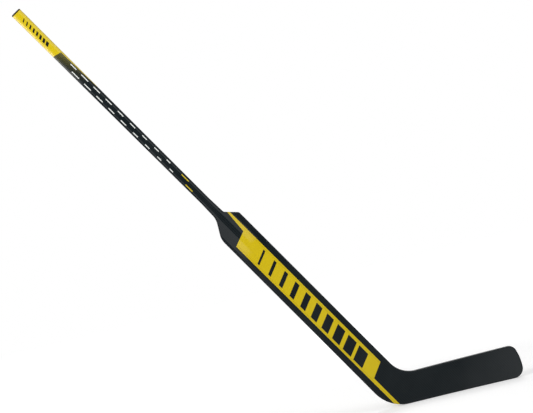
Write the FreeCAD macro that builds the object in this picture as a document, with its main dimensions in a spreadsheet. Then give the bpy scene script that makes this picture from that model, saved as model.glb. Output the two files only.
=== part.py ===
import FreeCAD, Part
import Sketcher
import math
import os

# Hockey goalie stick, standing on its sole as it is played. The origin is on the ice at the heel
# end of the sole's flat, +X runs along the sole to the toe, +Z is up and the front face looks
# towards -Y. The heel corner, where the heel-side edge of the paddle would meet the ice, lies
# behind the origin. Distances along the blade start there, heights up the paddle run from there
# along that edge, and distances across the paddle run from that edge to the toe side.

# Driving sizes, in millimetres and degrees
SIZES = {
    "origin_setback": 70.0,
    "lie_angle": 121.2,
    "stick_length": 1501.0,
    "shell_thickness": 19.0,
    "skin_wall": 1.2,
    "edge_radius": 3.5,
    "paddle_width": 88.9,
    "neck_base": 707.0,
    "neck_length": 57.0,
    "heel_shoulder_drop": 50.0,
    "toe_shoulder_drop": 31.0,
    "facet_drop": 89.0,
    "fade_length": 58.0,
    "neck_base_width": 29.0,
    "heel_blend": 8.0,
    "toe_blend": 3.5,
    "ridge_flat": 12.0,
    "toe_facet_reach": 30.0,
    "facet_slope": 0.1,
    "neck_width": 25.6,
    "butt_width": 29.4,
    "butt_shift": 1.8,
    "tube_wall": 1.7,
    "tenon_width": 22.2,
    "tenon_length": 264.0,
    "tenon_plug_length": 30.0,
    "plug_flange": 4.0,
    "plug_edge": 0.9,
    "plug_stem": 42.0,
    "plug_rib": 0.8,
    "plug_rib_thickness": 2.0,
    "plug_rib_pitch": 12.0,
    "plug_clearance": 0.15,
    "blade_length": 381.5,
    "blade_heel_height": 84.4,
    "blade_toe_height": 90.4,
    "heel_radius": 101.0,
    "throat_radius": 71.0,
    "toe_bow": 130.0,
    "toe_belly": 32.0,
    "toe_top_radius": 22.0,
    "toe_sole_radius": 28.0,
    "curve_start": 100.0,
    "curve_depth": 14.0,
    "toe_thickness": 13.5,
    "heel_block_top": 112.0,
    "heel_block_reach": 104.0,
    "core_drop": 7.0,
    "spine_width": 6.0,
    "rail_width": 7.0,
    "rib_height": 44.0,
    "rib_thickness": 3.0,
    "toe_block_length": 44.0,
    "reach": 60.0,
}

doc = FreeCAD.newDocument("GoalieStick")
sheet = doc.addObject("Spreadsheet::Sheet", "Sizes")
for row, (name, value) in enumerate(SIZES.items(), start=1):
    sheet.set(f"A{row}", name)
    sheet.set(f"B{row}", str(value))
    sheet.setAlias(f"B{row}", name)
doc.recompute()


def cell(name):
    return f"Sizes.{name}"


def number(expression):
    return float(sheet.evalExpression(expression))


def size(name):
    return float(sheet.get(name))


LEAN_COS = "cos(Sizes.lie_angle * 1deg)"
LEAN_SIN = "sin(Sizes.lie_angle * 1deg)"
PADDLE_MIDDLE = "Sizes.paddle_width / 2"
HALF_THICKNESS = "Sizes.shell_thickness / 2"
TUBE_END = "(Sizes.stick_length - Sizes.plug_flange)"
NECK_TOP = "(Sizes.neck_base + Sizes.neck_length)"
JOINT = "(Sizes.neck_base - Sizes.facet_drop - Sizes.fade_length)"
TENON_END = f"({NECK_TOP} - Sizes.tenon_length)"
TOE_BLOCK = "(Sizes.blade_length - Sizes.toe_block_length)"


def attach(body, sketch, role, height):
    # Sections of the shaft are set at a height up the paddle, the others start at the heel corner
    plane = next(item for item in body.Origin.OriginFeatures if item.Role == role)
    sketch.AttachmentSupport = (plane, [""])
    sketch.MapMode = "FlatFace"
    if height:
        sketch.setExpression("AttachmentOffset.Base.z", height)
    else:
        sketch.setExpression("AttachmentOffset.Base.x", f"-{cell('origin_setback')}")


def arc_between(start, end, radius, turns_left):
    chord = end - start
    left = FreeCAD.Vector(-chord.y, chord.x, 0).normalize()
    reach = math.sqrt(radius ** 2 - (chord.Length / 2) ** 2)
    centre = (start + end) * 0.5 + left * (reach if turns_left else -reach)
    first, last = (start, end) if turns_left else (end, start)
    angles = [math.atan2(point.y - centre.y, point.x - centre.x) for point in (first, last)]
    if angles[1] < angles[0]:
        angles[1] += 2 * math.pi
    return Part.ArcOfCircle(Part.Circle(centre, FreeCAD.Vector(0, 0, 1), radius), *angles)


def closed_sketch(body, name, role, corners, arcs=None, height=None):
    # A closed profile through corners given as pairs of expressions. arcs gives the sides that
    # are bowed: side number to (radius, True where the side turns left from corner to corner).
    arcs = arcs or {}
    sketch = body.newObject("Sketcher::SketchObject", name)
    attach(body, sketch, role, height)
    points = [FreeCAD.Vector(number(across), number(along), 0) for across, along in corners]
    ends = []
    for side, start in enumerate(points):
        end = points[(side + 1) % len(points)]
        if side in arcs:
            radius, turns_left = arcs[side]
            sketch.addGeometry(arc_between(start, end, number(radius), turns_left), False)
            ends.append((1, 2) if turns_left else (2, 1))
        else:
            sketch.addGeometry(Part.LineSegment(start, end), False)
            ends.append((1, 2))
    for side in range(len(points)):
        after = (side + 1) % len(points)
        joined = (side, ends[side][1], after, ends[after][0])
        sketch.addConstraint(Sketcher.Constraint("Coincident", *joined))
    for side, (across, along) in enumerate(corners):
        for kind, expression in (("DistanceX", across), ("DistanceY", along)):
            distance = Sketcher.Constraint(kind, -1, 1, side, ends[side][0], number(expression))
            sketch.setExpression(f"Constraints[{sketch.addConstraint(distance)}]", expression)
    for side, (radius, turns_left) in arcs.items():
        bow = Sketcher.Constraint("Radius", side, number(radius))
        sketch.setExpression(f"Constraints[{sketch.addConstraint(bow)}]", radius)
    return sketch


def pad(body, name, sketch, length, side="Symmetric"):
    feature = body.newObject("PartDesign::Pad", name)
    feature.Profile = sketch
    feature.SideType = side
    feature.setExpression("Length", length)
    doc.recompute()
    return feature


def boolean(kind, name, base, tool):
    feature = doc.addObject(f"Part::{kind}", name)
    feature.Base = base
    feature.Tool = tool
    feature.Refine = True
    return feature


def lean(feature):
    # Paddle pieces are drawn upright over the heel corner and leaned back to the lie
    feature.Placement.Rotation = FreeCAD.Rotation(FreeCAD.Vector(0, 1, 0), -1)
    feature.setExpression("Placement.Rotation.Angle", "(Sizes.lie_angle - 90) * 1deg")
    feature.setExpression("Placement.Rotation.Axis.y", "-1")
    feature.setExpression("Placement.Base.x", f"-{cell('origin_setback')}")


# Outline of paddle and blade seen from the front, up to the joint under the shoulder
def outline_block(name, inset):
    across = f"({cell('paddle_width')} - {inset})"
    bow = f"({cell('toe_bow')} - {inset})"
    toe_middle = f"({cell('blade_length')} - {cell('toe_bow')})"
    belly = cell("toe_belly")
    top = f"({cell('blade_toe_height')} - {inset})"
    throat = f"({cell('blade_heel_height')} - {inset})"
    corners = [
        (f"{inset} * (1 + {LEAN_COS}) / {LEAN_SIN}", inset),
        (f"{toe_middle} + sqrt({bow}^2 - ({belly} - {inset})^2)", inset),
        (f"{toe_middle} + sqrt({bow}^2 - ({top} - {belly})^2)", top),
        (f"({across} + {LEAN_COS} * {throat}) / {LEAN_SIN}", throat),
        (f"{across} * {LEAN_SIN} + {JOINT} * {LEAN_COS}",
         f"{JOINT} * {LEAN_SIN} - {across} * {LEAN_COS}"),
        (f"{inset} * {LEAN_SIN} + {JOINT} * {LEAN_COS}",
         f"{JOINT} * {LEAN_SIN} - {inset} * {LEAN_COS}"),
    ]
    rounds = [
        ("Heel", 0, f"{cell('heel_radius')} - {inset}"),
        ("ToeSole", 1, f"{cell('toe_sole_radius')} - {inset}"),
        ("ToeTop", 2, f"{cell('toe_top_radius')} - {inset}"),
        ("Throat", 3, f"{cell('throat_radius')} + {inset}"),
    ]
    body = doc.addObject("PartDesign::Body", name)
    sketch = closed_sketch(body, name + "Sketch", "XZ_Plane", corners, {1: (bow, True)})
    feature = pad(body, name + "Pad", sketch, f"2 * {cell('reach')}")
    for label, corner, radius in rounds:
        spot = [number(expression) for expression in corners[corner]]
        spot[0] -= size("origin_setback")
        edges = []
        for count, edge in enumerate(feature.Shape.Edges, start=1):
            first, last = edge.Vertexes[0].Point, edge.Vertexes[-1].Point
            upright = abs(abs(first.y - last.y) - 2 * number(cell("reach"))) < 0.01
            if upright and math.hypot(first.x - spot[0], first.z - spot[1]) < 0.01:
                edges.append(f"Edge{count}")
        rounded = body.newObject("PartDesign::Fillet", name + label)
        rounded.Base = (feature, edges)
        rounded.setExpression("Radius", radius)
        doc.recompute()
        feature = rounded
    return body


def bend_radius(depth):
    run = f"({cell('blade_length')} - {cell('curve_start')})"
    return f"(({run}^2 + ({depth})^2) / (2 * ({depth})))"


FACE_BEND = bend_radius(cell("curve_depth"))
BACK_DEPTH = f"{cell('curve_depth')} + {cell('shell_thickness')} - {cell('toe_thickness')}"
BACK_BEND = bend_radius(BACK_DEPTH)
PARTING_BEND = bend_radius(f"({cell('curve_depth')} + {BACK_DEPTH}) / 2")
PLAN_START = f"{JOINT} * {LEAN_COS} - {cell('reach')}"
PLAN_END = f"{cell('blade_length')} + {cell('reach')} / 6"
PLAN_RUN = f"({PLAN_END} - {cell('curve_start')})"


def bent(level, centre_bend, bend):
    return f"{level} - {centre_bend} + sqrt(({bend})^2 - {PLAN_RUN}^2)"


# Thickness seen from above: flat through the paddle, then bent forward and thinned to the toe
def plan_block(name, inset):
    half = f"{cell('shell_thickness')} / 2"
    face_bend = f"{FACE_BEND} + {inset}"
    back_bend = f"{BACK_BEND} - {inset}"
    corners = [
        (PLAN_START, f"{inset} - {half}"),
        (cell("curve_start"), f"{inset} - {half}"),
        (PLAN_END, bent(f"-{half}", FACE_BEND, face_bend)),
        (PLAN_END, bent(half, BACK_BEND, back_bend)),
        (cell("curve_start"), f"{half} - {inset}"),
        (PLAN_START, f"{half} - {inset}"),
    ]
    body = doc.addObject("PartDesign::Body", name)
    arcs = {1: (face_bend, False), 3: (back_bend, True)}
    sketch = closed_sketch(body, name + "Sketch", "XY_Plane", corners, arcs)
    pad(body, name + "Pad", sketch, f"2 * ({NECK_TOP} + {cell('paddle_width')})")
    return body


# Everything in front of the parting surface, which runs midway between face and back
def front_half():
    start = f"{NECK_TOP} * {LEAN_COS} - {cell('reach')}"
    corners = [
        (start, f"-{cell('reach')}"),
        (PLAN_END, f"-{cell('reach')}"),
        (PLAN_END, bent("0", PARTING_BEND, PARTING_BEND)),
        (cell("curve_start"), "0"),
        (start, "0"),
    ]
    body = doc.addObject("PartDesign::Body", "FrontHalf")
    sketch = closed_sketch(body, "FrontHalfSketch", "XY_Plane", corners, {2: (PARTING_BEND, True)})
    pad(body, "FrontHalfPad", sketch, f"2 * ({NECK_TOP} + {cell('paddle_width')})")
    return body


def rim_edges(shape):
    # Edges between a broad face and the wall round the outline, without the cut at the joint
    lean_angle = math.radians(size("lie_angle"))
    up_paddle = FreeCAD.Vector(math.cos(lean_angle), 0, math.sin(lean_angle))
    chosen = []
    for count, edge in enumerate(shape.Edges, start=1):
        middle = edge.valueAt((edge.FirstParameter + edge.LastParameter) / 2)
        normals = []
        for face in shape.ancestorsOfType(edge, Part.Face):
            normals.append(face.normalAt(*face.Surface.parameter(middle)))
        broad = [normal for normal in normals if abs(normal.y) > 0.7]
        wall = [normal for normal in normals if abs(normal.y) < 0.3]
        if broad and wall and wall[0].dot(up_paddle) < 0.99:
            chosen.append(count)
    return chosen


# Shoulder: half width on one side of the shaft line at a height up the paddle. The neck flares
# slowly, breaks out along a straight shoulder and turns into the paddle's edge, with a blend at
# each of the two turns.
def half_width(height, drop, blend):
    neck = size("neck_width") / 2
    base = size("neck_base_width") / 2
    full = size("paddle_width") / 2
    below = size("neck_base") - height
    flare = base + (base - neck) * below / size("neck_length")
    slope = base + (full - base) * below / drop
    wide = max(flare, slope) + max(blend - abs(flare - slope), 0) ** 2 / (4 * blend)
    return min(wide, full) - max(blend - abs(wide - full), 0) ** 2 / (4 * blend)


# Section of the shoulder: a flat ridge in line with the shaft and a facet down each side of it. On
# the heel side the facet runs out to the rounded edge, on the toe side a level border follows it.
# The facets fade out towards the joint.
def shoulder_section(height, inset):
    half = size("shell_thickness") / 2 - inset
    ridge = size("ridge_flat") / 2
    rounding = size("edge_radius")
    rise = (height - number(JOINT)) / size("fade_length")
    slope = size("facet_slope") * min(1.0, rise)
    middle = size("paddle_width") / 2
    corners = []
    for direction, side in ((1, "toe"), (-1, "heel")):
        edge = half_width(height, size(side + "_shoulder_drop"), size(side + "_blend"))
        shelf = edge - rounding
        spread = min(size("toe_facet_reach"), shelf) if side == "toe" else shelf
        facet = min(spread, shelf - rounding / 8)
        low = half - slope * (spread - ridge)
        quarter = [(ridge, half), (facet, half - slope * (facet - ridge))]
        if inset:
            quarter += [(edge - inset, low)]
        else:
            quarter += [(shelf, low), (edge, low - rounding)]
        near = [(middle + direction * across, -direction * level) for across, level in quarter]
        far = [(middle + direction * across, direction * level) for across, level in quarter]
        corners += near + far[::-1]
    points = [FreeCAD.Vector(across, level, height) for across, level in corners]
    edges = []
    for count, start in enumerate(points):
        end = points[(count + 1) % len(points)]
        if not inset and count in (2, 4, 10, 12):
            edges.append(arc_between(start, end, rounding, True).toShape())
        else:
            edges.append(Part.LineSegment(start, end).toShape())
    return Part.Wire(edges)


def shoulder(name, inset):
    steps = 30
    start, end = number(JOINT), number(NECK_TOP)
    heights = [start + (end - start) * step / steps for step in range(steps + 1)]
    feature = doc.addObject("Part::Feature", name)
    sections = [shoulder_section(height, inset) for height in heights]
    feature.Shape = Part.makeLoft(sections, True, False)
    lean(feature)
    return feature


# Shell of paddle, heel and blade: a rounded outer form less the hollow for the cores
outer_block = boolean("Common", "LowerOuter", outline_block("OutlineOuter", "0"),
                      plan_block("PlanOuter", "0"))
doc.recompute()
outer_lower = doc.addObject("Part::Fillet", "LowerRounded")
outer_lower.Base = outer_block
rounding = size("edge_radius")
outer_lower.Edges = [(edge, rounding, rounding) for edge in rim_edges(outer_block.Shape)]
outer_upper = shoulder("ShoulderOuter", 0)
hollow_lower = boolean("Common", "LowerInner", outline_block("OutlineInner", cell("skin_wall")),
                       plan_block("PlanInner", cell("skin_wall")))
hollow_upper = shoulder("ShoulderInner", size("skin_wall"))
hollow = boolean("Fuse", "Hollow", hollow_lower, hollow_upper)
shell = boolean("Fuse", "Shell", boolean("Cut", "ShellLower", outer_lower, hollow_lower),
                boolean("Cut", "ShellUpper", outer_upper, hollow_upper))
parting = front_half()
front_skin = boolean("Common", "front_skin", shell, parting)
back_skin = boolean("Cut", "back_skin", shell, parting)


def paddle_box(name, across, up, half="Sizes.reach"):
    # A block in the paddle's own directions: across from the heel-side edge, up from the heel
    box = doc.addObject("Part::Box", name)
    box.setExpression("Length", f"({across[1]}) - ({across[0]})")
    box.setExpression("Width", f"2 * ({half})")
    box.setExpression("Height", f"({up[1]}) - ({up[0]})")
    lean(box)
    lean_x = f"({across[0]}) * {LEAN_SIN} + ({up[0]}) * {LEAN_COS}"
    box.setExpression("Placement.Base.x", f"{lean_x} - {cell('origin_setback')}")
    box.setExpression("Placement.Base.y", f"-({half})")
    box.setExpression("Placement.Base.z", f"({up[0]}) * {LEAN_SIN} - ({across[0]}) * {LEAN_COS}")
    return box


def blade_box(name, along, up):
    # A block in the blade's own directions: along the sole from the heel, up from the ice
    box = doc.addObject("Part::Box", name)
    box.setExpression("Length", f"({along[1]}) - ({along[0]})")
    box.setExpression("Width", f"2 * {cell('reach')}")
    box.setExpression("Height", f"({up[1]}) - ({up[0]})")
    box.setExpression("Placement.Base.x", f"{along[0]} - {cell('origin_setback')}")
    box.setExpression("Placement.Base.y", f"-{cell('reach')}")
    box.setExpression("Placement.Base.z", up[0])
    return box


# Shaft section at a height up the paddle: the ridge's flat, its two facets and a rounded corner at
# each side. The shaft widens from neck to butt, more on the heel side than on the toe side.
def shaft_section(height, inset):
    down = f"(({TUBE_END} - {height}) / ({TUBE_END} - {NECK_TOP}))"
    width = f"({cell('butt_width')} - ({cell('butt_width')} - {cell('neck_width')}) * {down})"
    middle = f"({PADDLE_MIDDLE} - {cell('butt_shift')} * (1 - {down}))"
    edge = f"({width} / 2 - {inset})"
    corner = f"max({cell('edge_radius')} - {inset}; 0.4)"
    ridge = f"{cell('ridge_flat')} / 2"
    drop = f"{cell('facet_slope')} * ({width} / 2 - {cell('edge_radius')} - {ridge})"
    level = f"({HALF_THICKNESS} - {inset})"
    quarter = [
        (ridge, level),
        (f"({edge} - {corner})", f"({level} - {drop})"),
        (edge, f"({level} - {drop} - {corner})"),
    ]
    corners = []
    for direction, other in (("+", "-"), ("-", "+")):
        near = [(f"{middle} {direction} {a}", f"0 {other} {b}") for a, b in quarter]
        far = [(f"{middle} {direction} {a}", f"0 {direction} {b}") for a, b in quarter]
        corners += near + far[::-1]
    return corners, {side: (corner, True) for side in (1, 3, 7, 9)}


def section_sketch(body, name, inset, height, rounded=True):
    corners, arcs = shaft_section(height, inset)
    return closed_sketch(body, name, "XY_Plane", corners, arcs if rounded else None, height)


def tapered(body, name, inset, start):
    feature = body.newObject("PartDesign::AdditiveLoft", name)
    feature.Profile = section_sketch(body, name + "Neck", inset, start)
    feature.Sections = [section_sketch(body, name + "Butt", inset, TUBE_END)]
    feature.Ruled = True
    doc.recompute()
    return feature


# Shaft tube: tapered from butt to neck, with a tenon that fills the hollow between the skins
shaft_outer = doc.addObject("PartDesign::Body", "ShaftOuter")
tapered(shaft_outer, "ShaftTaper", "0", NECK_TOP)
lean(shaft_outer)
bore_start = f"({NECK_TOP} + {cell('tube_wall')})"
shaft_bore = doc.addObject("PartDesign::Body", "ShaftBore")
tapered(shaft_bore, "BoreTaper", cell("tube_wall"), bore_start)
lean(shaft_bore)
tenon_half = f"({cell('tenon_width')} / 2)"
tenon_sides = (f"{PADDLE_MIDDLE} - {tenon_half}", f"{PADDLE_MIDDLE} + {tenon_half}")
tenon_box = paddle_box("TenonBox", tenon_sides, (TENON_END, NECK_TOP))
bore_half = f"({tenon_half} - {cell('tube_wall')})"
bore_sides = (f"{PADDLE_MIDDLE} - {bore_half}", f"{PADDLE_MIDDLE} + {bore_half}")
bore_depth = f"{HALF_THICKNESS} - {cell('skin_wall')} - {cell('tube_wall')}"
tenon_bore = paddle_box("TenonBore", bore_sides, (TENON_END, bore_start), bore_depth)
solid_shaft = boolean("Fuse", "SolidShaft", shaft_outer, boolean("Common", "Tenon", hollow, tenon_box))
bore = boolean("Fuse", "Bore", shaft_bore, tenon_bore)
shaft_tube = boolean("Cut", "shaft_tube", solid_shaft, bore)
plug_top = f"{TENON_END} + {cell('tenon_plug_length')}"
tenon_plug = paddle_box("tenon_plug", bore_sides, (TENON_END, plug_top), bore_depth)

# Butt plug: a cap the size of the shaft, and a stem with cut corners whose ribs grip the bore
butt_plug = doc.addObject("PartDesign::Body", "butt_plug")
cap_sketch = section_sketch(butt_plug, "CapSketch", "0", TUBE_END)
cap = pad(butt_plug, "Cap", cap_sketch, cell("plug_flange"), "One side")
rib_inset = f"({cell('tube_wall')} + {cell('plug_clearance')})"
stem_inset = f"({rib_inset} + {cell('plug_rib')})"
stem_sketch = section_sketch(butt_plug, "StemSketch", stem_inset, TUBE_END, False)
stem = pad(butt_plug, "Stem", stem_sketch, cell("plug_stem"), "One side")
stem.Reversed = True
for count in (1, 2, 3):
    rib_height = f"({TUBE_END} - {count} * {cell('plug_rib_pitch')})"
    rib_sketch = section_sketch(butt_plug, f"RibSketch{count}", rib_inset, rib_height, False)
    pad(butt_plug, f"Rib{count}", rib_sketch, cell("plug_rib_thickness"), "One side")
doc.recompute()
top_edges = []
for count, edge in enumerate(butt_plug.Shape.Edges, start=1):
    if edge.BoundBox.ZMin > size("stick_length") - 0.01:
        top_edges.append(f"Edge{count}")
last_rib = butt_plug.Tip
cap_edge = butt_plug.newObject("PartDesign::Chamfer", "CapEdge")
cap_edge.Base = (last_rib, top_edges)
cap_edge.setExpression("Size", cell("plug_edge"))
lean(butt_plug)

# Inside the paddle: a web under the tenon, a stiffener along each edge, foam between
far_out = f"-{cell('reach')}"
far_across = f"{cell('paddle_width')} + {cell('reach')}"
paddle_span = (cell("heel_block_top"), JOINT)
spine_half = f"{cell('spine_width')} / 2"
spine_sides = (f"{PADDLE_MIDDLE} - {spine_half}", f"{PADDLE_MIDDLE} + {spine_half}")
spine_box = paddle_box("SpineBox", spine_sides, (cell("heel_block_top"), TENON_END))
rail_edge = f"{cell('skin_wall')} + {cell('rail_width')}"
heel_rail_box = paddle_box("HeelRailBox", (far_out, rail_edge), paddle_span)
toe_rail_sides = (f"{cell('paddle_width')} - ({rail_edge})", far_across)
toe_rail_box = paddle_box("ToeRailBox", toe_rail_sides, paddle_span)
core_span = (cell("heel_block_top"), f"{cell('neck_base')} - {cell('core_drop')}")
heel_core_box = paddle_box("HeelCoreBox", (far_out, PADDLE_MIDDLE), core_span)
toe_core_box = paddle_box("ToeCoreBox", (PADDLE_MIDDLE, far_across), core_span)
inserts = doc.addObject("Part::MultiFuse", "PaddleInserts")
inserts.Shapes = [tenon_box, spine_box, heel_rail_box, toe_rail_box]
paddle_spine = boolean("Common", "paddle_spine", hollow, spine_box)
heel_rail = boolean("Common", "paddle_heel_side_rail", hollow, heel_rail_box)
toe_rail = boolean("Common", "paddle_toe_side_rail", hollow, toe_rail_box)
heel_core = boolean("Cut", "paddle_heel_side_core",
                    boolean("Common", "HeelSide", hollow, heel_core_box), inserts)
toe_core = boolean("Cut", "paddle_toe_side_core",
                   boolean("Common", "ToeSide", hollow, toe_core_box), inserts)

# Heel block: fills the hollow where paddle and blade meet
paddle_zone = paddle_box("PaddleZone", (far_out, far_across),
                         (cell("heel_block_top"), f"{NECK_TOP} + {cell('reach')}"))
blade_zone = blade_box("BladeZone", (cell("heel_block_reach"), f"{cell('blade_length')} + {cell('reach')}"),
                       (far_out, f"{cell('blade_toe_height')} + {cell('reach')}"))
heel_block = boolean("Cut", "heel_block", boolean("Cut", "HeelAndBlade", hollow, paddle_zone), blade_zone)

# Inside the blade: a web at half height, stiffeners along sole and top, foam between, a toe block
blade_span = (cell("heel_block_reach"), TOE_BLOCK)
rib_low = f"{cell('rib_height')} - {cell('rib_thickness')} / 2"
rib_high = f"{cell('rib_height')} + {cell('rib_thickness')} / 2"
high = f"{cell('blade_toe_height')} + {cell('reach')}"
toe_box = blade_box("ToeBox", (TOE_BLOCK, f"{cell('blade_length')} + {cell('reach')}"),
                    (far_out, high))
blade_layers = {}
for name, levels in (("blade_sole_rail", (far_out, rail_edge)), ("blade_lower_core", (rail_edge, rib_low)),
                     ("blade_rib", (rib_low, rib_high)), ("AboveRib", (rib_high, high))):
    blade_layers[name] = boolean("Common", name, hollow, blade_box(name + "Box", blade_span, levels))
throat_along = f"({cell('paddle_width')} + {LEAN_COS} * {cell('blade_heel_height')}) / {LEAN_SIN}"
toe_rise = f"{cell('blade_toe_height')} - {cell('blade_heel_height')}"
toe_along = (f"{cell('blade_length')} - {cell('toe_bow')}"
             f" + sqrt({cell('toe_bow')}^2 - ({cell('blade_toe_height')} - {cell('toe_belly')})^2)")
top_box = blade_box("TopBox", (throat_along, f"{throat_along} + {cell('blade_length')}"),
                    (f"{cell('blade_heel_height')} - ({rail_edge})", high))
top_box.Placement.Rotation = FreeCAD.Rotation(FreeCAD.Vector(0, 1, 0), -1)
top_box.setExpression("Placement.Rotation.Axis.y", "-1")
top_box.setExpression("Placement.Rotation.Angle", f"atan(({toe_rise}) / ({toe_along} - {throat_along}))")
top_rail = boolean("Common", "blade_top_rail", blade_layers["AboveRib"], top_box)
upper_core = boolean("Cut", "blade_upper_core", blade_layers["AboveRib"], top_box)
toe_block = boolean("Common", "blade_toe_block", hollow, toe_box)

subparts = [
    shaft_tube, butt_plug, tenon_plug, front_skin, back_skin, paddle_spine, heel_core, toe_core,
    heel_rail, toe_rail, heel_block, blade_layers["blade_lower_core"], upper_core,
    blade_layers["blade_rib"], blade_layers["blade_sole_rail"], top_rail, toe_block,
]

doc.recompute()
for item in doc.Objects:
    faults = [word for word in item.State if word in ("Invalid", "Error")]
    if faults:
        raise RuntimeError(f"{item.Name} did not build: {faults}")
for item in subparts:
    if item.Shape.isNull() or not item.Shape.isValid():
        raise RuntimeError(f"{item.Label} has no valid shape")
    if len(item.Shape.Solids) != 1:
        raise RuntimeError(f"{item.Label} is {len(item.Shape.Solids)} solids, not one")
os.makedirs("parts", exist_ok=True)
for item in subparts:
    item.Shape.exportStep(f"parts/{item.Label}.step")
    print(f"{item.Label}: {item.Shape.Volume / 1000:.2f} cm3")
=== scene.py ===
import math

import bmesh
import bpy
from mathutils import Matrix, Vector


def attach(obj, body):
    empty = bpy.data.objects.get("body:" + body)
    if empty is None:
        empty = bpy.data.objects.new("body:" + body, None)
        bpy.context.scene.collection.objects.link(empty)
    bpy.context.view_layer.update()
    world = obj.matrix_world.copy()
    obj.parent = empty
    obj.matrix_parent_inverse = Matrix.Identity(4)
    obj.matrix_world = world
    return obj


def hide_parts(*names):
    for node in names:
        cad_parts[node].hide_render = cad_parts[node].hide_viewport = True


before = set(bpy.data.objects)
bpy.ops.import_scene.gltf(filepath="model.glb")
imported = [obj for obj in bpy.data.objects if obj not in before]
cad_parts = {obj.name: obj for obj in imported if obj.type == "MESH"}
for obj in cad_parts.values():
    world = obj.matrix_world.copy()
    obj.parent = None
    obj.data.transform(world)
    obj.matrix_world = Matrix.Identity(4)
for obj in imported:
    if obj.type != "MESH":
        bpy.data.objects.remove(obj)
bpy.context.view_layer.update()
print("frame loaded,", len(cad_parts), "nodes")

# The stick's own directions: up the shaft line, and across it from heel side to toe side
stick = {
    "heelCorner": Vector((-0.070, 0, 0)),  # where the paddle's heel-side edge would meet the ice
    "lie": math.radians(121.2),
    "paddleWidth": 0.0889,
    "thickness": 0.019,
    "edgeRadius": 0.0035,
    "ridgeFlat": 0.012,
    "toeFacetReach": 0.030,  # outside the facets the rim is flat again
    "heelFacetReach": 0.037,
    "facetSlope": 0.10,
    "neckTop": 0.764,
    "neckWidth": 0.0256,
    "tubeEnd": 1.497,
    "buttWidth": 0.0294,
    "buttShift": 0.0018,
}
upStick = Vector((math.cos(stick["lie"]), 0, math.sin(stick["lie"])))
acrossStick = Vector((math.sin(stick["lie"]), 0, -math.cos(stick["lie"])))
shaftLine = stick["heelCorner"] + acrossStick * stick["paddleWidth"] / 2
halfThickness = stick["thickness"] / 2
shaftRun = stick["tubeEnd"] - stick["neckTop"]
hair = 1e-5  # points closer than this are one point


def onStick(across, up, depth=0.0):  # across from the shaft line, up from the heel corner
    return shaftLine + acrossStick * across + upStick * up + Vector((0, depth, 0))


def stickPlace(point):
    offset = point - shaftLine
    return offset.dot(acrossStick), offset.dot(upStick)


def facetDrop(across, ridge=stick["ridgeFlat"] / 2):  # how far the facets beside the ridge fall away
    reach = max(min(across, stick["toeFacetReach"]), min(-across, stick["heelFacetReach"]))
    return stick["facetSlope"] * max(reach - ridge, 0)


def cutAlong(bm, point, normal, above=-math.inf):  # leaves alone what lies lower on the stick
    faces = [face for face in bm.faces if stickPlace(face.calc_center_median())[1] > above]
    cut = dict.fromkeys(part for face in faces for part in (*face.verts, *face.edges, face))
    bmesh.ops.bisect_plane(bm, geom=list(cut), dist=hair / 10, plane_co=point, plane_no=normal)


def endFace(bm, direction):  # the flat face at one end of a piece
    def reach(face):
        return face.calc_center_median().dot(direction) + face.normal.dot(direction)
    return max(bm.faces, key=reach)


def finishedPiece(name, bm, node, material, wall=0.0):
    mesh = bpy.data.meshes.new(name)
    bmesh.ops.recalc_face_normals(bm, faces=bm.faces[:])
    for face in bm.faces:
        face.smooth = True
    for edge in bm.edges:
        if edge.is_boundary:
            edge.smooth = False
    bm.to_mesh(mesh)
    bm.free()
    piece = bpy.data.objects.new(name, mesh)
    bpy.context.scene.collection.objects.link(piece)
    mesh.materials.append(material)
    if wall:
        shell = piece.modifiers.new("wall", "SOLIDIFY")
        shell.thickness = wall
        shell.offset = -1
        shell.use_even_offset = True
    shading = piece.modifiers.new("flatFaces", "WEIGHTED_NORMAL")
    shading.keep_sharp = True
    shading.weight = 100
    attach(piece, "root")
    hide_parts(node)
    print(name, "made,", len(mesh.polygons), "faces")


# Shader expressions: a wire is a socket that can be added, multiplied and compared
class Wire:
    def __init__(self, finish, socket):
        self.finish = finish
        self.socket = socket

    def maths(self, operation, *others, clamp=False):
        settings = {"operation": operation, "use_clamp": clamp}
        return self.finish.node("Math", settings, dict(enumerate((self, *others))))

    def turnedRound(self, operation, other):  # the plain number comes first
        return self.finish.node("Math", {"operation": operation}, {0: other, 1: self})

    def __add__(self, other):
        return self.maths("ADD", other)

    __radd__ = __add__

    def __mul__(self, other):
        return self.maths("MULTIPLY", other)

    __rmul__ = __mul__

    def __sub__(self, other):
        return self.maths("SUBTRACT", other)

    def __rsub__(self, other):
        return self.turnedRound("SUBTRACT", other)

    def __truediv__(self, other):
        return self.maths("DIVIDE", other)

    def __rtruediv__(self, other):
        return self.turnedRound("DIVIDE", other)

    def __or__(self, other):  # either of two masks
        return self.maths("MAXIMUM", other)

    __ror__ = __or__

    def size(self):
        return self.maths("ABSOLUTE")

    def share(self):  # what is left after the whole number
        return self.maths("FRACT")

    def whole(self):
        return self.maths("FLOOR")

    def held(self):  # kept from 0 to 1
        return self.maths("ADD", 0, clamp=True)

    def above(self, edge, soft=0.0003):  # mask with an edge that is soft over a short stretch
        return (self - edge).maths("MULTIPLY_ADD", 1 / soft, 0.5, clamp=True)

    def below(self, edge, soft=0.0003):
        return 1 - self.above(edge, soft)

    def between(self, low, high, soft=0.0003):
        return self.above(low, soft) * self.below(high, soft)


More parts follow.
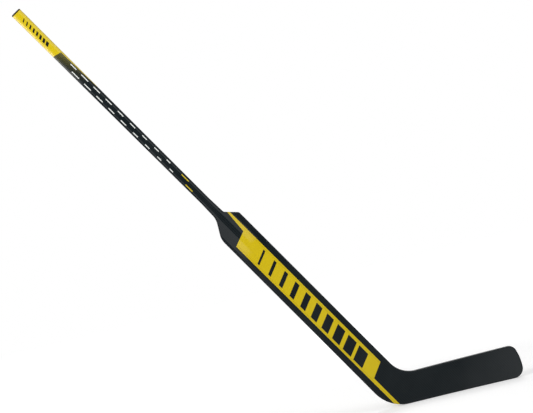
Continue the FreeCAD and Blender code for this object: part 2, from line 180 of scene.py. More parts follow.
class Finish:
    def __init__(self, owner):
        owner.use_nodes = True
        self.tree = owner.node_tree
        self.tree.nodes.clear()

    def node(self, kind, settings=None, sockets=None, output=0):
        made = self.tree.nodes.new("ShaderNode" + kind)
        for name, value in (settings or {}).items():
            setattr(made, name, value)
        for name, value in (sockets or {}).items():
            if isinstance(value, Wire):
                self.tree.links.new(value.socket, made.inputs[name])
            else:
                made.inputs[name].default_value = value
        return Wire(self, made.outputs[output]) if made.outputs else None

    def place(self):
        return self.node("TexCoord", output="Object")

    def parts(self, vector, axes):
        return [self.node("SeparateXYZ", None, {0: vector}, axis) for axis in axes]

    def ray(self, kind):
        return self.node("LightPath", output="Is " + kind + " Ray")

    def noise(self, spot, scale, detail):
        sockets = {"Vector": spot, "Scale": scale, "Detail": detail}
        return self.node("TexNoise", {"noise_dimensions": "3D"}, sockets, "Fac")

    def mixed(self, mask, under, over):
        settings = {"data_type": "RGBA", "clamp_factor": True}
        return self.node("Mix", settings, {0: mask, 6: under, 7: over}, 2)

    def shaded(self, colour, mask, strength):  # colour made lighter where the mask is high
        settings = {"data_type": "RGBA", "blend_type": "LINEAR_LIGHT"}
        return self.node("Mix", settings, {0: strength, 6: colour, 7: mask}, 2)

    def bumped(self, height, strength, distance):
        return self.node("Bump", None, {"Height": height, "Strength": strength, "Distance": distance})

    def surface(self, sockets):
        shader = self.node("BsdfPrincipled", None, sockets)
        self.node("OutputMaterial", None, {"Surface": shader})


def colourOf(red, green, blue):  # screen values from 0 to 255 to the renderer's linear light
    def linear(value):
        share = value / 255
        return share / 12.92 if share <= 0.04045 else ((share + 0.055) / 1.055) ** 2.4
    return linear(red), linear(green), linear(blue), 1.0


def finishFor(name):
    material = bpy.data.materials.new(name)
    return material, Finish(material)


def stickWires(finish):
    spot = finish.place()
    x, z = finish.parts(spot, "XZ")
    fromHeel = x - shaftLine.x
    height = z - shaftLine.z
    across = fromHeel * acrossStick.x + height * acrossStick.z
    up = fromHeel * upStick.x + height * upStick.z
    return spot, across, up


# Paint: black lacquer over carbon twill, with yellow and white print under a clear coat
paint = {
    "black": colourOf(24, 30, 33),
    "yellow": colourOf(210, 185, 24),
    "deepYellow": colourOf(190, 162, 22),
    "olive": colourOf(112, 106, 50),
    "white": colourOf(228, 230, 226),
    "specular": 0.33,
    "roughness": 0.12,
    "coatRoughness": 0.08,
    "tow": 0.0018,  # width of a carbon tow in the weave
    "towOver": 0.49,  # share of the weave's repeat in which a tow lies on top
    "towSoft": 0.01,
    "peelScale": 420,
    "cloudScale": 9,
    "toneStrength": 0.02,  # how far cloud and weave change the colour
    "cloudTone": 0.4,
    "weaveTone": 0.10,
    "cloudRoughness": 0.04,
    "weaveRoughness": 0.03,
    "peelHeight": 0.3,  # shares of the bump
    "weaveHeight": 0.35,
    "printHeight": 0.8,
    "bumpStrength": 0.05,
    "bumpDepth": 0.0002,
}


def twill(across, up):  # two-over, two-under weave, laid at 45 degrees to the shaft
    warp = (across + up) * (math.sqrt(0.5) / paint["tow"])
    weft = (across - up) * (math.sqrt(0.5) / paint["tow"])
    over = ((warp.whole() + weft.whole()) / 4).share().below(paint["towOver"], paint["towSoft"])
    crown = (warp.share() - 0.5).size() * over + (weft.share() - 0.5).size() * (1 - over)
    return over, 1 - 2 * crown


def lacquered(finish, spot, across, up, colour, printed, coat):
    over, crown = twill(across, up)
    peel = finish.noise(spot, paint["peelScale"], 2)
    cloud = finish.noise(spot, paint["cloudScale"], 4) - 0.5
    weave = (over - 0.5) * (1 - printed)
    tone = cloud * paint["cloudTone"] + weave * paint["weaveTone"] + 0.5
    roughness = cloud * paint["cloudRoughness"] + weave * paint["weaveRoughness"] + paint["roughness"]
    height = crown * (1 - printed) * paint["weaveHeight"] + printed * paint["printHeight"]
    height = height + peel * paint["peelHeight"]
    finish.surface({
        "Base Color": finish.shaded(colour, tone, paint["toneStrength"]),
        "Roughness": roughness,
        "Specular IOR Level": paint["specular"],
        "Coat Weight": printed * coat,
        "Coat Roughness": paint["coatRoughness"],
        "Normal": finish.bumped(height, paint["bumpStrength"], paint["bumpDepth"]),
    })


# Print on the paddle: a long slanted panel between two stripes, with bars that thin out upwards
panelPrint = {
    "heelEdge": -0.0261,  # edges at the heel corner's height, and how they lean on the way up
    "heelLean": -0.0038,
    "toeEdge": 0.0286,
    "toeLean": -0.0030,
    "topAt": 0.6245,  # height of the slanted ends where they cross the shaft line
    "topSlant": 0.37,
    "bottomAt": 0.0967,
    "bottomSlant": 0.44,
    "upperStripe": 0.0152,
    "upperStripeSlant": 0.084,
    "lowerStripe": -0.0166,
    "pinstripeInset": 0.0042,
    "pinstripe": 0.0013,
    "barsFrom": 0.140,
    "barsTo": 0.584,  # less than a whole number of pitches, so that no bar starts at the end
    "barPitch": 0.0445,
    "barSlant": 0.40,
    "barHeelEdge": -0.0205,
    "barToeEdge": 0.0195,
    "barShares": (0.84, 0.10),  # how much of the pitch the lowest and the highest bar take
    "barSoft": 0.008,
    "coat": 0.30,
}


def paddlePaint():
    material, finish = finishFor("paddlePaint")
    spot, across, up = stickWires(finish)
    heelEdge = up * panelPrint["heelLean"] + panelPrint["heelEdge"]
    toeEdge = up * panelPrint["toeLean"] + panelPrint["toeEdge"]
    wide = across.between(heelEdge, toeEdge)
    topEdge = across * panelPrint["topSlant"] + panelPrint["topAt"]
    bottomEdge = across * panelPrint["bottomSlant"] + panelPrint["bottomAt"]
    stripeEdge = (up - panelPrint["topAt"]) * panelPrint["upperStripeSlant"] + panelPrint["upperStripe"]
    upper = up.below(topEdge) | across.above(stripeEdge)
    lower = up.above(bottomEdge) | across.below(panelPrint["lowerStripe"])
    panel = wide * upper * lower
    fromEdge = (across - heelEdge).maths("MINIMUM", toeEdge - across)
    pinstripes = (fromEdge - panelPrint["pinstripeInset"]).size().below(panelPrint["pinstripe"] / 2)
    slanted = up - across * panelPrint["barSlant"]
    run = panelPrint["barsTo"] - panelPrint["barsFrom"]
    climb = (slanted - panelPrint["barsFrom"]) / run
    thick, thin = panelPrint["barShares"]
    barShare = climb * (thin - thick) + thick
    turn = ((slanted - panelPrint["barsFrom"]) / panelPrint["barPitch"]).share()
    bars = turn.below(barShare, panelPrint["barSoft"])
    bars = bars * slanted.between(panelPrint["barsFrom"], panelPrint["barsTo"])
    bars = bars * across.between(panelPrint["barHeelEdge"], panelPrint["barToeEdge"])
    yellow = finish.mixed(pinstripes, paint["yellow"], paint["deepYellow"])
    printed = panel * (1 - bars)
    colour = finish.mixed(printed, paint["black"], yellow)
    lacquered(finish, spot, across, up, colour, printed, panelPrint["coat"])
    return material


# Print on the shaft: yellow grip end, a dotted fade, two rows of dashes down the face
shaftPrint = {
    "yellowFrom": 1.3365,
    "yellowSlant": -0.27,
    "bareEndAndShade": 0.0006,  # the print stops just short of the plug; the thin black band left there is painted shade where the cap meets the tube, as well as bare tube end
    "cornerStripe": 0.0103,
    "cornerTaper": 0.0215,
    "cornerEnd": 1.195,
    "cornerSoft": 0.01,
    "dotPitch": 0.0036,
    "dotsTo": 1.225,
    "dotSizes": (0.40, 0.04),  # radii at the top and the foot of the fade, in pitches
    "dotGrowth": 9,  # growth towards the toe side
    "dotSoft": 0.06,
    "smallestDot": 0.02,
    "dashesFrom": 0.882,
    "dashesTo": 1.292,
    "dashPitch": 0.0456,
    "dashRow": 0.0062,
    "dashWidth": 0.0024,
    "dashShares": (0.28, 0.62),
    "yellowDashes": (0.806, 0.861),
    "dashSoft": 0.01,
    "barsFrom": 1.372,
    "barsTo": 1.479,
    "barPitch": 0.0135,
    "barReach": 0.0052,
    "barSlant": 0.55,
    "barShares": (0.72, 0.22),
    "barSoft": 0.03,
    "coat": 0.55,
}


def shaftPaint():
    material, finish = finishFor("shaftPaint")
    spot, across, up = stickWires(finish)
    across = across + (up - stick["neckTop"]) * (stick["buttShift"] / shaftRun)
    yellowEdge = across * shaftPrint["yellowSlant"] + shaftPrint["yellowFrom"]
    # the black band between the grip's yellow and the plug is painted shade at the joint, as well as bare
    # tube end
    gripEnd = up.between(yellowEdge, stick["tubeEnd"] - shaftPrint["bareEndAndShade"])
    below = shaftPrint["yellowFrom"] - up
    stripeEdge = below * shaftPrint["cornerTaper"] + shaftPrint["cornerStripe"]
    stripe = across.above(stripeEdge) * up.above(shaftPrint["cornerEnd"], shaftPrint["cornerSoft"])
    barClimb = up - across * shaftPrint["barSlant"] - shaftPrint["barsFrom"]
    barTurn = (barClimb / shaftPrint["barPitch"]).share()
    barRun = shaftPrint["barsTo"] - shaftPrint["barsFrom"]
    thick, thin = shaftPrint["barShares"]
    bars = barTurn.below(barClimb * ((thin - thick) / barRun) + thick, shaftPrint["barSoft"])
    bars = bars * barClimb.between(0, barRun) * across.size().below(shaftPrint["barReach"])
    first = ((across + up) / shaftPrint["dotPitch"]).share() - 0.5
    second = ((across - up) / shaftPrint["dotPitch"]).share() - 0.5
    fade = below / (shaftPrint["yellowFrom"] - shaftPrint["dotsTo"])
    large, small = shaftPrint["dotSizes"]
    dotSize = fade * (small - large) + across * shaftPrint["dotGrowth"] + large
    dots = (first * first + second * second).below(dotSize * dotSize, shaftPrint["dotSoft"]) * (1 - gripEnd)
    dots = dots * up.above(shaftPrint["dotsTo"])
    dots = dots * dotSize.above(shaftPrint["smallestDot"], shaftPrint["smallestDot"])
    rows = (across.size() - shaftPrint["dashRow"]).size().below(shaftPrint["dashWidth"] / 2)
    stagger = across.above(0) * 0.5
    climb = up - shaftPrint["dashesFrom"]
    short, long = shaftPrint["dashShares"]
    dashRun = shaftPrint["dashesTo"] - shaftPrint["dashesFrom"]
    dashShare = climb * ((long - short) / dashRun) + short
    turn = (climb / shaftPrint["dashPitch"] + stagger).share()
    dashes = rows * turn.below(dashShare, shaftPrint["dashSoft"]) * climb.between(0, dashRun)
    low, high = shaftPrint["yellowDashes"]
    goldFrom = stagger * (high - low) + low
    goldDashes = rows * up.between(goldFrom, goldFrom + (high - low) / 2)
    yellow = (gripEnd * (1 - bars)) | stripe | goldDashes
    colour = finish.mixed(dots, paint["black"], paint["olive"])
    colour = finish.mixed(dashes, colour, paint["white"])
    colour = finish.mixed(yellow, colour, paint["yellow"])
    lacquered(finish, spot, across, up, colour, yellow | dashes, shaftPrint["coat"])
    return material


# Moulded rubber of the butt plug
rubber = {
    "colour": colourOf(11, 14, 18),
    "toneStrength": 0.008,
    "roughness": 0.5,
    "grainRoughness": 0.25,
    "specular": 0.12,
    "grainScale": 900,
    "cloudScale": 60,
    "bumpStrength": 0.25,
    "bumpDepth": 0.0002,
}


def plugRubber():
    material, finish = finishFor("plugRubber")
    spot = finish.place()
    grain = finish.noise(spot, rubber["grainScale"], 3)
    cloud = finish.noise(spot, rubber["cloudScale"], 2)
    finish.surface({
        "Base Color": finish.shaded(rubber["colour"], cloud, rubber["toneStrength"]),
        "Roughness": rubber["roughness"] + grain * rubber["grainRoughness"],
        "Specular IOR Level": rubber["specular"],
        "Normal": finish.bumped(grain, rubber["bumpStrength"], rubber["bumpDepth"]),
    })
    return material


# Foam and stiffeners sealed inside
inside = {
    "lightFoam": {"colour": colourOf(226, 220, 196), "cell": 0.0016},
    "denseFoam": {"colour": colourOf(196, 180, 140), "cell": 0.0009},
    "foamCloudScale": 40,
    "foamTone": 0.18,
    "foamRoughness": 0.75,
    "foamBump": (0.6, 0.0004),  # strength and depth
    "rail": colourOf(40, 42, 45),
    "railStreakScale": 300,
    "railTone": 0.10,
    "railRoughness": 0.35,
    "railBump": (0.3, 0.0002),
    "textureShare": 0.6,  # of the change in colour, and the rest is cloud or streaks
    "uneven": 0.2,  # change in roughness
}


def textured(finish, colour, texture, cloud, strength):
    share = inside["textureShare"]
    return finish.shaded(colour, texture * share + cloud * (1 - share), strength)


def foamFinish(name):
    material, finish = finishFor(name)
    spot = finish.place()
    sockets = {"Vector": spot, "Scale": 1 / inside[name]["cell"]}
    cells = finish.node("TexVoronoi", {"feature": "F1"}, sockets, "Distance")
    cloud = finish.noise(spot, inside["foamCloudScale"], 3)
    finish.surface({
        "Base Color": textured(finish, inside[name]["colour"], cells, cloud, inside["foamTone"]),
        "Roughness": inside["foamRoughness"] + cells * inside["uneven"],
        "Normal": finish.bumped(cells, *inside["foamBump"]),
    })
    return material


def carbonRail():
    material, finish = finishFor("carbonRail")
    spot, across, up = stickWires(finish)
    over, crown = twill(across, up)
    streak = finish.noise(spot, inside["railStreakScale"], 3)
    finish.surface({
        "Base Color": textured(finish, inside["rail"], over, streak, inside["railTone"]),
        "Roughness": inside["railRoughness"] + streak * inside["uneven"],
        "Normal": finish.bumped(crown, *inside["railBump"]),
    })
    return material


# Moulded skins over paddle, heel and blade
skin = {
    "wall": 0.0012,
    "neckBase": 0.707,
    "neckBaseWidth": 0.029,
    "heelShoulder": 0.657,
    "toeShoulder": 0.676,
    "heelShoulderRadius": 0.051,
    "toeShoulderRadius": 0.0103,
    "facetStart": 0.560,
    "facetFull": 0.618,
    "ridgeSpread": 0.0017,  # on each side of the ridge
    "spreadFull": 0.692,
    "spreadFrom": 0.725,
    "borderFrom": 0.240,  # the heel-side border tips back slightly, more and more towards the shoulder
    "borderFull": 0.590,
    "borderWidth": 0.0155,
    "borderSlope": 0.023,
    "heelRadius": 0.101,
    "throatRadius": 0.071,
    "bladeLength": 0.3815,
    "bladeHeelHeight": 0.0844,
    "bladeToeHeight": 0.0904,
    "toeBow": 0.130,
    "toeBelly": 0.032,
    "toeTopRadius": 0.022,
    "toeSoleRadius": 0.028,
    "curveStart": 0.100,
    "curveDepth": 0.014,
    "toeThickness": 0.0135,
    "seamWidth": 0.0008,
    "seamDepth": 0.00025,
    "arcStep": math.radians(4),
    "fewestArcSteps": 3,
    "edgeSegments": 6,
    "borderSteps": 6,  # cuts that let the flat sheet bend
    "shoulderSteps": 20,
    "bladeSteps": 36,
}


def toeCorner(radius, lineStart, lineEnd):
    # Corner between a straight edge and the tangent of the bowed toe, where their fillet touches
    along = (lineEnd - lineStart).normalized()
    inward = Vector((0, -1, 0)).cross(along)
    bowPlace = Vector((skin["bladeLength"] - skin["toeBow"], 0, skin["toeBelly"]))
    bowCentre = stick["heelCorner"] + bowPlace
    inward *= math.copysign(1, (bowCentre - lineStart).dot(inward))
    start = lineStart + inward * radius - bowCentre
    half = start.dot(along)
    travel = -half + math.sqrt(half ** 2 - start.length_squared + (skin["toeBow"] - radius) ** 2)
    outward = (start + along * travel).normalized()
    touch = bowCentre + outward * skin["toeBow"]
    tangent = outward.cross(Vector((0, 1, 0)))
    corner = touch - tangent * (touch - lineStart).dot(inward) / tangent.dot(inward)
    return corner, outward, bowCentre


def skinCorners():
    heel = stick["heelCorner"]
    halfPaddle = stick["paddleWidth"] / 2
    halfBase = skin["neckBaseWidth"] / 2
    halfNeck = stick["neckWidth"] / 2
    rise = skin["bladeHeelHeight"]
    throat = onStick(halfPaddle, (rise - halfPaddle * acrossStick.z - shaftLine.z) / upStick.z)
    toeTop = skin["bladeToeHeight"]
    toeReach = math.sqrt(skin["toeBow"] ** 2 - (toeTop - skin["toeBelly"]) ** 2)
    topEnd = heel + Vector((skin["bladeLength"] - skin["toeBow"] + toeReach, 0, toeTop))
    soleCorner, soleOut, bowCentre = toeCorner(skin["toeSoleRadius"], heel, heel + Vector((1, 0, 0)))
    topCorner, topOut, bowCentre = toeCorner(skin["toeTopRadius"], throat, topEnd)
    bowHalf = soleOut.angle(topOut) / 2
    bowCorner = bowCentre + (soleOut + topOut).normalized() * skin["toeBow"] / math.cos(bowHalf)
    return [
        (heel, skin["heelRadius"]),
        (soleCorner, skin["toeSoleRadius"]),
        (bowCorner, skin["toeBow"]),
        (topCorner, skin["toeTopRadius"]),
        (throat, skin["throatRadius"]),
        (onStick(halfPaddle, skin["toeShoulder"]), skin["toeShoulderRadius"]),
        (onStick(halfBase, skin["neckBase"]), skin["toeShoulderRadius"]),
        (onStick(halfNeck, stick["neckTop"]), 0),
        (onStick(-halfNeck, stick["neckTop"]), 0),
        (onStick(-halfBase, skin["neckBase"]), skin["heelShoulderRadius"]),
        (onStick(-halfPaddle, skin["heelShoulder"]), skin["heelShoulderRadius"]),
    ]


def roundedOutline(bm, corners):
    ends = []
    for count, (corner, radius) in enumerate(corners):
        back = (corners[count - 1][0] - corner).normalized()
        ahead = (corners[(count + 1) % len(corners)][0] - corner).normalized()
        turn = math.pi - back.angle(ahead)
        start = bm.verts.new(corner + back * radius * math.tan(turn / 2))
        if not radius:
            ends.append((start, start))
            continue
        centre = corner + (back + ahead).normalized() * radius / math.cos(turn / 2)
        axis = (0, math.copysign(1, ahead.cross(back).y), 0)
        steps = max(skin["fewestArcSteps"], round(turn / skin["arcStep"]))
        spun = bmesh.ops.spin(bm, geom=[start], cent=centre, axis=axis, angle=turn, steps=steps)
        ends.append((start, spun["geom_last"][0]))
    for count, (start, last) in enumerate(ends):
        bm.edges.new((ends[count - 1][1], start))
    bmesh.ops.remove_doubles(bm, verts=bm.verts[:], dist=hair)
    return bmesh.ops.contextual_create(bm, geom=bm.edges[:])["faces"]


def bendRadius(depth):
    run = skin["bladeLength"] - skin["curveStart"]
    return (run ** 2 + depth ** 2) / (2 * depth)


def shareOf(value, low, high):
    return min(max((value - low) / (high - low), 0), 1)


def ridgeHalf(up):
    spread = 1 - shareOf(up, skin["spreadFull"], skin["spreadFrom"])
    return stick["ridgeFlat"] / 2 + skin["ridgeSpread"] * spread


def shapedDepth(point):  # facets on the shoulder, then the blade's curve and its thinning to the toe
    across, up = stickPlace(point)
    rise = shareOf(up, skin["facetStart"], skin["facetFull"])
    tip = shareOf(up, skin["borderFrom"], skin["borderFull"]) * (1 - rise) * skin["borderSlope"]
    onBorder = max(skin["borderWidth"] - stick["paddleWidth"] / 2 - across, 0)
    drop = rise * facetDrop(across, ridgeHalf(up)) + tip * onBorder
    depth = point.y * (1 - drop / halfThickness)
    past = max(point.x - stick["heelCorner"].x - skin["curveStart"], 0)
    backDepth = skin["curveDepth"] + stick["thickness"] - skin["toeThickness"]
    sags = []
    for fall in (skin["curveDepth"], backDepth):
        radius = bendRadius(fall)
        sags.append(radius - math.sqrt(radius ** 2 - past ** 2))
    side = point.y / halfThickness
    return depth - (sags[0] * (1 - side) + sags[1] * (1 + side)) / 2


def solidOutline():
    bm = bmesh.new()
    front = roundedOutline(bm, skinCorners())
    bmesh.ops.translate(bm, verts=bm.verts[:], vec=(0, -halfThickness, 0))
    raised = bmesh.ops.extrude_face_region(bm, geom=front)
    moved = [item for item in raised["geom"] if isinstance(item, bmesh.types.BMVert)]
    bmesh.ops.translate(bm, verts=moved, vec=(0, stick["thickness"], 0))
    bmesh.ops.recalc_face_normals(bm, faces=bm.faces[:])
    neckEnd = endFace(bm, upStick)
    rim = []
    for edge in bm.edges:
        broad = [face for face in edge.link_faces if abs(face.normal.y) > 0.9]
        if len(broad) == 1 and neckEnd not in edge.link_faces:
            rim.append(edge)
    bmesh.ops.bevel(bm, geom=rim, offset=stick["edgeRadius"], offset_type="OFFSET", affect="EDGES",
                    segments=skin["edgeSegments"], profile=0.5, material=-1)
    bmesh.ops.delete(bm, geom=[endFace(bm, upStick)], context="FACES_ONLY")
    return bm


def shapedSkins():
    bm = solidOutline()
    ridge = stick["ridgeFlat"] / 2
    border = skin["borderWidth"] - stick["paddleWidth"] / 2
    heelRim = -stick["heelFacetReach"]
    creases = (-ridge, ridge, stick["toeFacetReach"], border)
    for crease in creases:
        cutAlong(bm, onStick(crease, 0), acrossStick)
    borderStep = (skin["borderFull"] - skin["borderFrom"]) / skin["borderSteps"]
    for count in range(skin["borderSteps"] + 1):
        cutAlong(bm, onStick(0, skin["borderFrom"] + borderStep * count), upStick)
    shoulderStep = (stick["neckTop"] - skin["facetStart"]) / skin["shoulderSteps"]
    for count in range(skin["shoulderSteps"]):
        cutAlong(bm, onStick(0, skin["facetStart"] + shoulderStep * count), upStick)
    cutAlong(bm, onStick(0, skin["facetFull"]), upStick)
    cutAlong(bm, onStick(heelRim, 0), acrossStick, skin["facetStart"])
    bladeStep = (skin["bladeLength"] - skin["curveStart"]) / skin["bladeSteps"]
    for count in range(skin["bladeSteps"]):
        along = Vector((skin["curveStart"] + bladeStep * count, 0, 0))
        cutAlong(bm, stick["heelCorner"] + along, Vector((1, 0, 0)))
    for level in (-skin["seamWidth"] / 2, 0, skin["seamWidth"] / 2):
        cutAlong(bm, Vector((0, level, 0)), Vector((0, 1, 0)))
    bm.normal_update()
    seam = [vert for vert in bm.verts if abs(vert.co.y) < hair / 10]
    pushes = [vert.normal * skin["seamDepth"] for vert in seam]
    for vert, push in zip(seam, pushes):
        vert.co -= push
    for edge in bm.edges:
        places = [stickPlace(vert.co) for vert in edge.verts]
        for crease in (*creases, heelRim):
            lowest = skin["borderFrom"] if crease == border else skin["facetStart"]
            if all(abs(across - crease) < hair and up > lowest - hair for across, up in places):
                edge.smooth = False
    for vert in bm.verts:  # the ridge spreads over the shoulder
        across, up = stickPlace(vert.co)
        if abs(abs(across) - ridge) < hair and up > skin["facetStart"] + hair:
            vert.co += acrossStick * math.copysign(ridgeHalf(up) - ridge, across)
    halves = {"frontSkin": bm, "backSkin": bm.copy()}
    for name, half in halves.items():
        keep = -1 if name == "frontSkin" else 1
        away = [face for face in half.faces if face.calc_center_median().y * keep < 0]
        bmesh.ops.delete(half, geom=away, context="FACES")
        for vert in half.verts:
            vert.co.y = shapedDepth(vert.co)
    return halves


def makeSkins(material):
    for name, bm in shapedSkins().items():
        node = "front_skin" if name == "frontSkin" else "back_skin"
        finishedPiece(name, bm, node, material, skin["wall"])


# Shaft: a tapered tube with a ridge down each face, and a tenon that runs into the paddle
tube = {
    "wall": 0.0017,
    "buttEdgeRadius": 0.0052,
    "cornerSegments": 8,
    "tenonInset": 0.0013,
    "tenonLength": 0.264,
}


def shaftShape(up):  # width and middle at a height: it widens to the butt, mostly on the heel side
    climb = (up - stick["neckTop"]) / shaftRun
    width = stick["neckWidth"] + (stick["buttWidth"] - stick["neckWidth"]) * climb
    return width, -stick["buttShift"] * climb


def fromMiddle(point):
    across, up = stickPlace(point)
    return across - shaftShape(up)[1]


def shaftSection(bm, up):
    width, middle = shaftShape(up)
    half = width / 2
    ridge = stick["ridgeFlat"] / 2
    side = halfThickness - facetDrop(-half)
    front = [(-half, -side), (-ridge, -halfThickness), (ridge, -halfThickness), (half, -side)]
    ring = front + [(across, -depth) for across, depth in front[::-1]]
    return [bm.verts.new(onStick(middle + across, up, depth)) for across, depth in ring]


def shaftSolid(startUp, endUp):  # the corners grow rounder towards the butt
    bm = bmesh.new()
    for up in (startUp, endUp):
        end = bm.faces.new(shaftSection(bm, up))
        climb = (up - stick["neckTop"]) / shaftRun
        radius = stick["edgeRadius"] + (tube["buttEdgeRadius"] - stick["edgeRadius"]) * climb
        corners = [vert for vert in end.verts if abs(fromMiddle(vert.co)) > stick["ridgeFlat"] / 2 + hair]
        bmesh.ops.bevel(bm, geom=corners, offset=radius, offset_type="OFFSET", affect="VERTICES",
                        segments=tube["cornerSegments"], profile=0.5, material=-1)
    bmesh.ops.bridge_loops(bm, edges=bm.edges[:])
    bmesh.ops.recalc_face_normals(bm, faces=bm.faces[:])
    return bm


def creaseRidges(bm):
    for edge in bm.edges:
        if all(abs(abs(fromMiddle(vert.co)) - stick["ridgeFlat"] / 2) < hair for vert in edge.verts):
            edge.smooth = False


def makeShaft(material):
    bm = shaftSolid(stick["neckTop"], stick["tubeEnd"])
    creaseRidges(bm)
    bmesh.ops.delete(bm, geom=[endFace(bm, upStick)], context="FACES_ONLY")
    neck = endFace(bm, -upStick)
    bmesh.ops.inset_region(bm, faces=[neck], thickness=tube["tenonInset"], use_even_offset=True)
    drawn = bmesh.ops.extrude_discrete_faces(bm, faces=[neck])
    tenonEnd = drawn["faces"][0]
    bmesh.ops.translate(bm, verts=tenonEnd.verts[:], vec=-upStick * tube["tenonLength"])
    bmesh.ops.delete(bm, geom=[tenonEnd], context="FACES_ONLY")
    finishedPiece("shaftTube", bm, "shaft_tube", material, tube["wall"])


# Butt plug: a cap that closes the tube, on a stem inside it
plug = {"flange": 0.004, "edge": 0.0009, "edgeSegments": 4, "stemInset": 0.0027, "stem": 0.042}


def makePlug(material):
    top = stick["tubeEnd"] + plug["flange"]
    bm = shaftSolid(stick["tubeEnd"], top)
    capTop = endFace(bm, upStick)
    bmesh.ops.bevel(bm, geom=capTop.edges[:], offset=plug["edge"], offset_type="OFFSET", affect="EDGES",
                    segments=plug["edgeSegments"], profile=0.5, material=-1)
    under = endFace(bm, -upStick)
    bmesh.ops.inset_region(bm, faces=[under], thickness=plug["stemInset"], use_even_offset=True)
    drawn = bmesh.ops.extrude_discrete_faces(bm, faces=[under])
    bmesh.ops.translate(bm, verts=drawn["faces"][0].verts[:], vec=-upStick * plug["stem"])
    finishedPiece("buttPlug", bm, "butt_plug", material)


makeSkins(paddlePaint())
makeShaft(shaftPaint())
makePlug(plugRubber())

innerFinishes = {
    "foam": foamFinish("lightFoam"),
    "dense_foam": foamFinish("denseFoam"),
    "stiffener": carbonRail(),
}
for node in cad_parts.values():
    slotName = node.material_slots[0].material.name
    if slotName in innerFinishes:
        node.material_slots[0].material = innerFinishes[slotName]
print("inner pieces finished")

# Stage: pale floor and white surroundings. Polished paint sees a bright panel before and behind the
# stick, each with a dark strip down its middle in line with the shaft, and darkness at the sides.
stage = {
    "floorSize": 14.0,
    "floorTiles": 8,
    "floorDrop": 0.0005,
    "floorTone": 0.82,
    "floorGlow": (0.30, 0.66),  # near the stick and far from it
    "glowFrom": 0.7,
    "glowTo": 2.6,
    "roomLight": 0.41,
    "panelReach": 0.72,
    "panelSoft": 0.12,
    "panelHalf": 0.42,
    "stripMiddle": 0.004,
    "stripHalf": 0.095,
    "stripSoft": 0.050,
    "darkest": 0.03,
    "darkFall": 1.2,  # the strip is a little lighter towards the foot of the stick
}


def makeFloor():
    bm = bmesh.new()
    tiles = stage["floorTiles"]
    bmesh.ops.create_grid(bm, x_segments=tiles, y_segments=tiles, size=stage["floorSize"] / 2)
    bmesh.ops.translate(bm, verts=bm.verts[:], vec=(0, 0, -stage["floorDrop"]))
    mesh = bpy.data.meshes.new("floor")
    bm.to_mesh(mesh)
    bm.free()
    floor = bpy.data.objects.new("floor", mesh)
    bpy.context.scene.collection.objects.link(floor)
    material, finish = finishFor("paleFloor")
    spot = finish.place()
    away = finish.node("VectorMath", {"operation": "LENGTH"}, {0: spot}, "Value")
    near, far = stage["floorGlow"]
    growth = ((away - stage["glowFrom"]) / (stage["glowTo"] - stage["glowFrom"])).held()
    seen = finish.ray("Camera") | finish.ray("Glossy") | finish.ray("Transmission")
    tone = stage["floorTone"]
    plain = finish.node("BsdfDiffuse", None, {"Color": (tone, tone, tone, 1)})
    glow = finish.node("Emission", None, {"Strength": seen * (growth * (far - near) + near)})
    both = finish.node("AddShader", None, {0: plain, 1: glow})
    finish.node("OutputMaterial", None, {"Surface": both})
    mesh.materials.append(material)
    material.cycles.emission_sampling = "NONE"  # the glow is for looks, so no lamp samples go to it
    floor.visible_glossy = False  # polished paint shows the panels instead


def makeRoom():
    world = bpy.data.worlds.new("room")
    bpy.context.scene.world = world
    finish = Finish(world)
    direction = finish.node("TexCoord", output="Generated")
    x, y, z = finish.parts(direction, "XYZ")
    beside = (x * acrossStick.x + z * acrossStick.z) / y.size()
    along = (x * upStick.x + z * upStick.z) / y.size()
    strip = (beside - stage["stripMiddle"]).size().below(stage["stripHalf"], stage["stripSoft"])
    reach = y.size().above(stage["panelReach"], stage["panelSoft"])
    panels = reach * (1 - strip) * beside.size().below(stage["panelHalf"], stage["panelSoft"])
    dark = (stage["darkest"] - along * reach * stage["darkFall"]).held()
    glossy = finish.ray("Glossy")
    seen = finish.ray("Camera") | finish.ray("Transmission")
    shown = seen | glossy * (panels * (1 - dark) + dark)
    strength = shown + (1 - (seen | glossy)) * stage["roomLight"]
    light = finish.node("Background", None, {"Color": (1, 1, 1, 1), "Strength": strength})
    finish.node("OutputWorld", None, {"Surface": light})


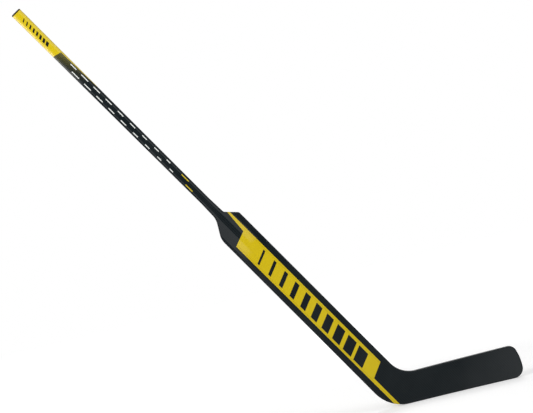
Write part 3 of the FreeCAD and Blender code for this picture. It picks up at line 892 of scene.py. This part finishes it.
lamps = {  # size lies across and along the stick, and each points at a height on its shaft line
    "keyLamp": {"place": (-2.4, -2.6, 2.6), "aim": 0.6, "size": (1.6, 1.6), "power": 50},
    "fillLamp": {"place": (2.2, -2.8, 1.8), "aim": 0.6, "size": (1.8, 1.8), "power": 28},
    "rimLamp": {"place": (0.6, 2.2, 2.4), "aim": 0.6, "size": (1.6, 1.6), "power": 22},
    "heelGleam": {"place": onStick(-1.5, 1.78, -0.75), "aim": 1.78, "size": (2.1, 0.55), "power": 18},
    "toeGleam": {"place": onStick(1.5, 1.78, -0.6), "aim": 1.78, "size": (1.6, 0.55), "power": 5},
}
notReflected = {"fillLamp", "rimLamp"}  # they would draw a bright line down the toe-side edges


def makeLamps():
    for name, setting in lamps.items():
        lamp = bpy.data.lights.new(name, "AREA")
        lamp.shape = "RECTANGLE"
        lamp.size, lamp.size_y = setting["size"]
        lamp.energy = setting["power"]
        holder = bpy.data.objects.new(name, lamp)
        place = Vector(setting["place"])
        back = (place - onStick(0, setting["aim"])).normalized()
        side = (acrossStick - back * back.dot(acrossStick)).normalized()
        turned = Matrix((side, back.cross(side), back)).transposed().to_4x4()
        holder.matrix_world = Matrix.Translation(place) @ turned
        holder.visible_glossy = name not in notReflected
        bpy.context.scene.collection.objects.link(holder)


view = {
    "middle": Vector((-0.267, 0, 0.621)),
    "frameWidth": 1.471,
    "lens": 100,
    "sensor": 36,
    "roll": math.radians(13.82),
}


def makeCamera():
    lens = bpy.data.cameras.new("camera")
    lens.lens = view["lens"]
    lens.sensor_width = view["sensor"]
    distance = view["frameWidth"] * view["lens"] / view["sensor"]
    right = Vector((math.cos(view["roll"]), 0, -math.sin(view["roll"])))
    upwards = Vector((math.sin(view["roll"]), 0, math.cos(view["roll"])))
    back = Vector((0, -1, 0))
    camera = bpy.data.objects.new("camera", lens)
    turned = Matrix((right, upwards, back)).transposed().to_4x4()
    camera.matrix_world = Matrix.Translation(view["middle"] + back * distance) @ turned
    bpy.context.scene.collection.objects.link(camera)
    bpy.context.scene.camera = camera


makeFloor()
makeRoom()
makeLamps()
makeCamera()
bpy.context.scene.view_settings.view_transform = "Standard"
print("stage, lamps and camera set")
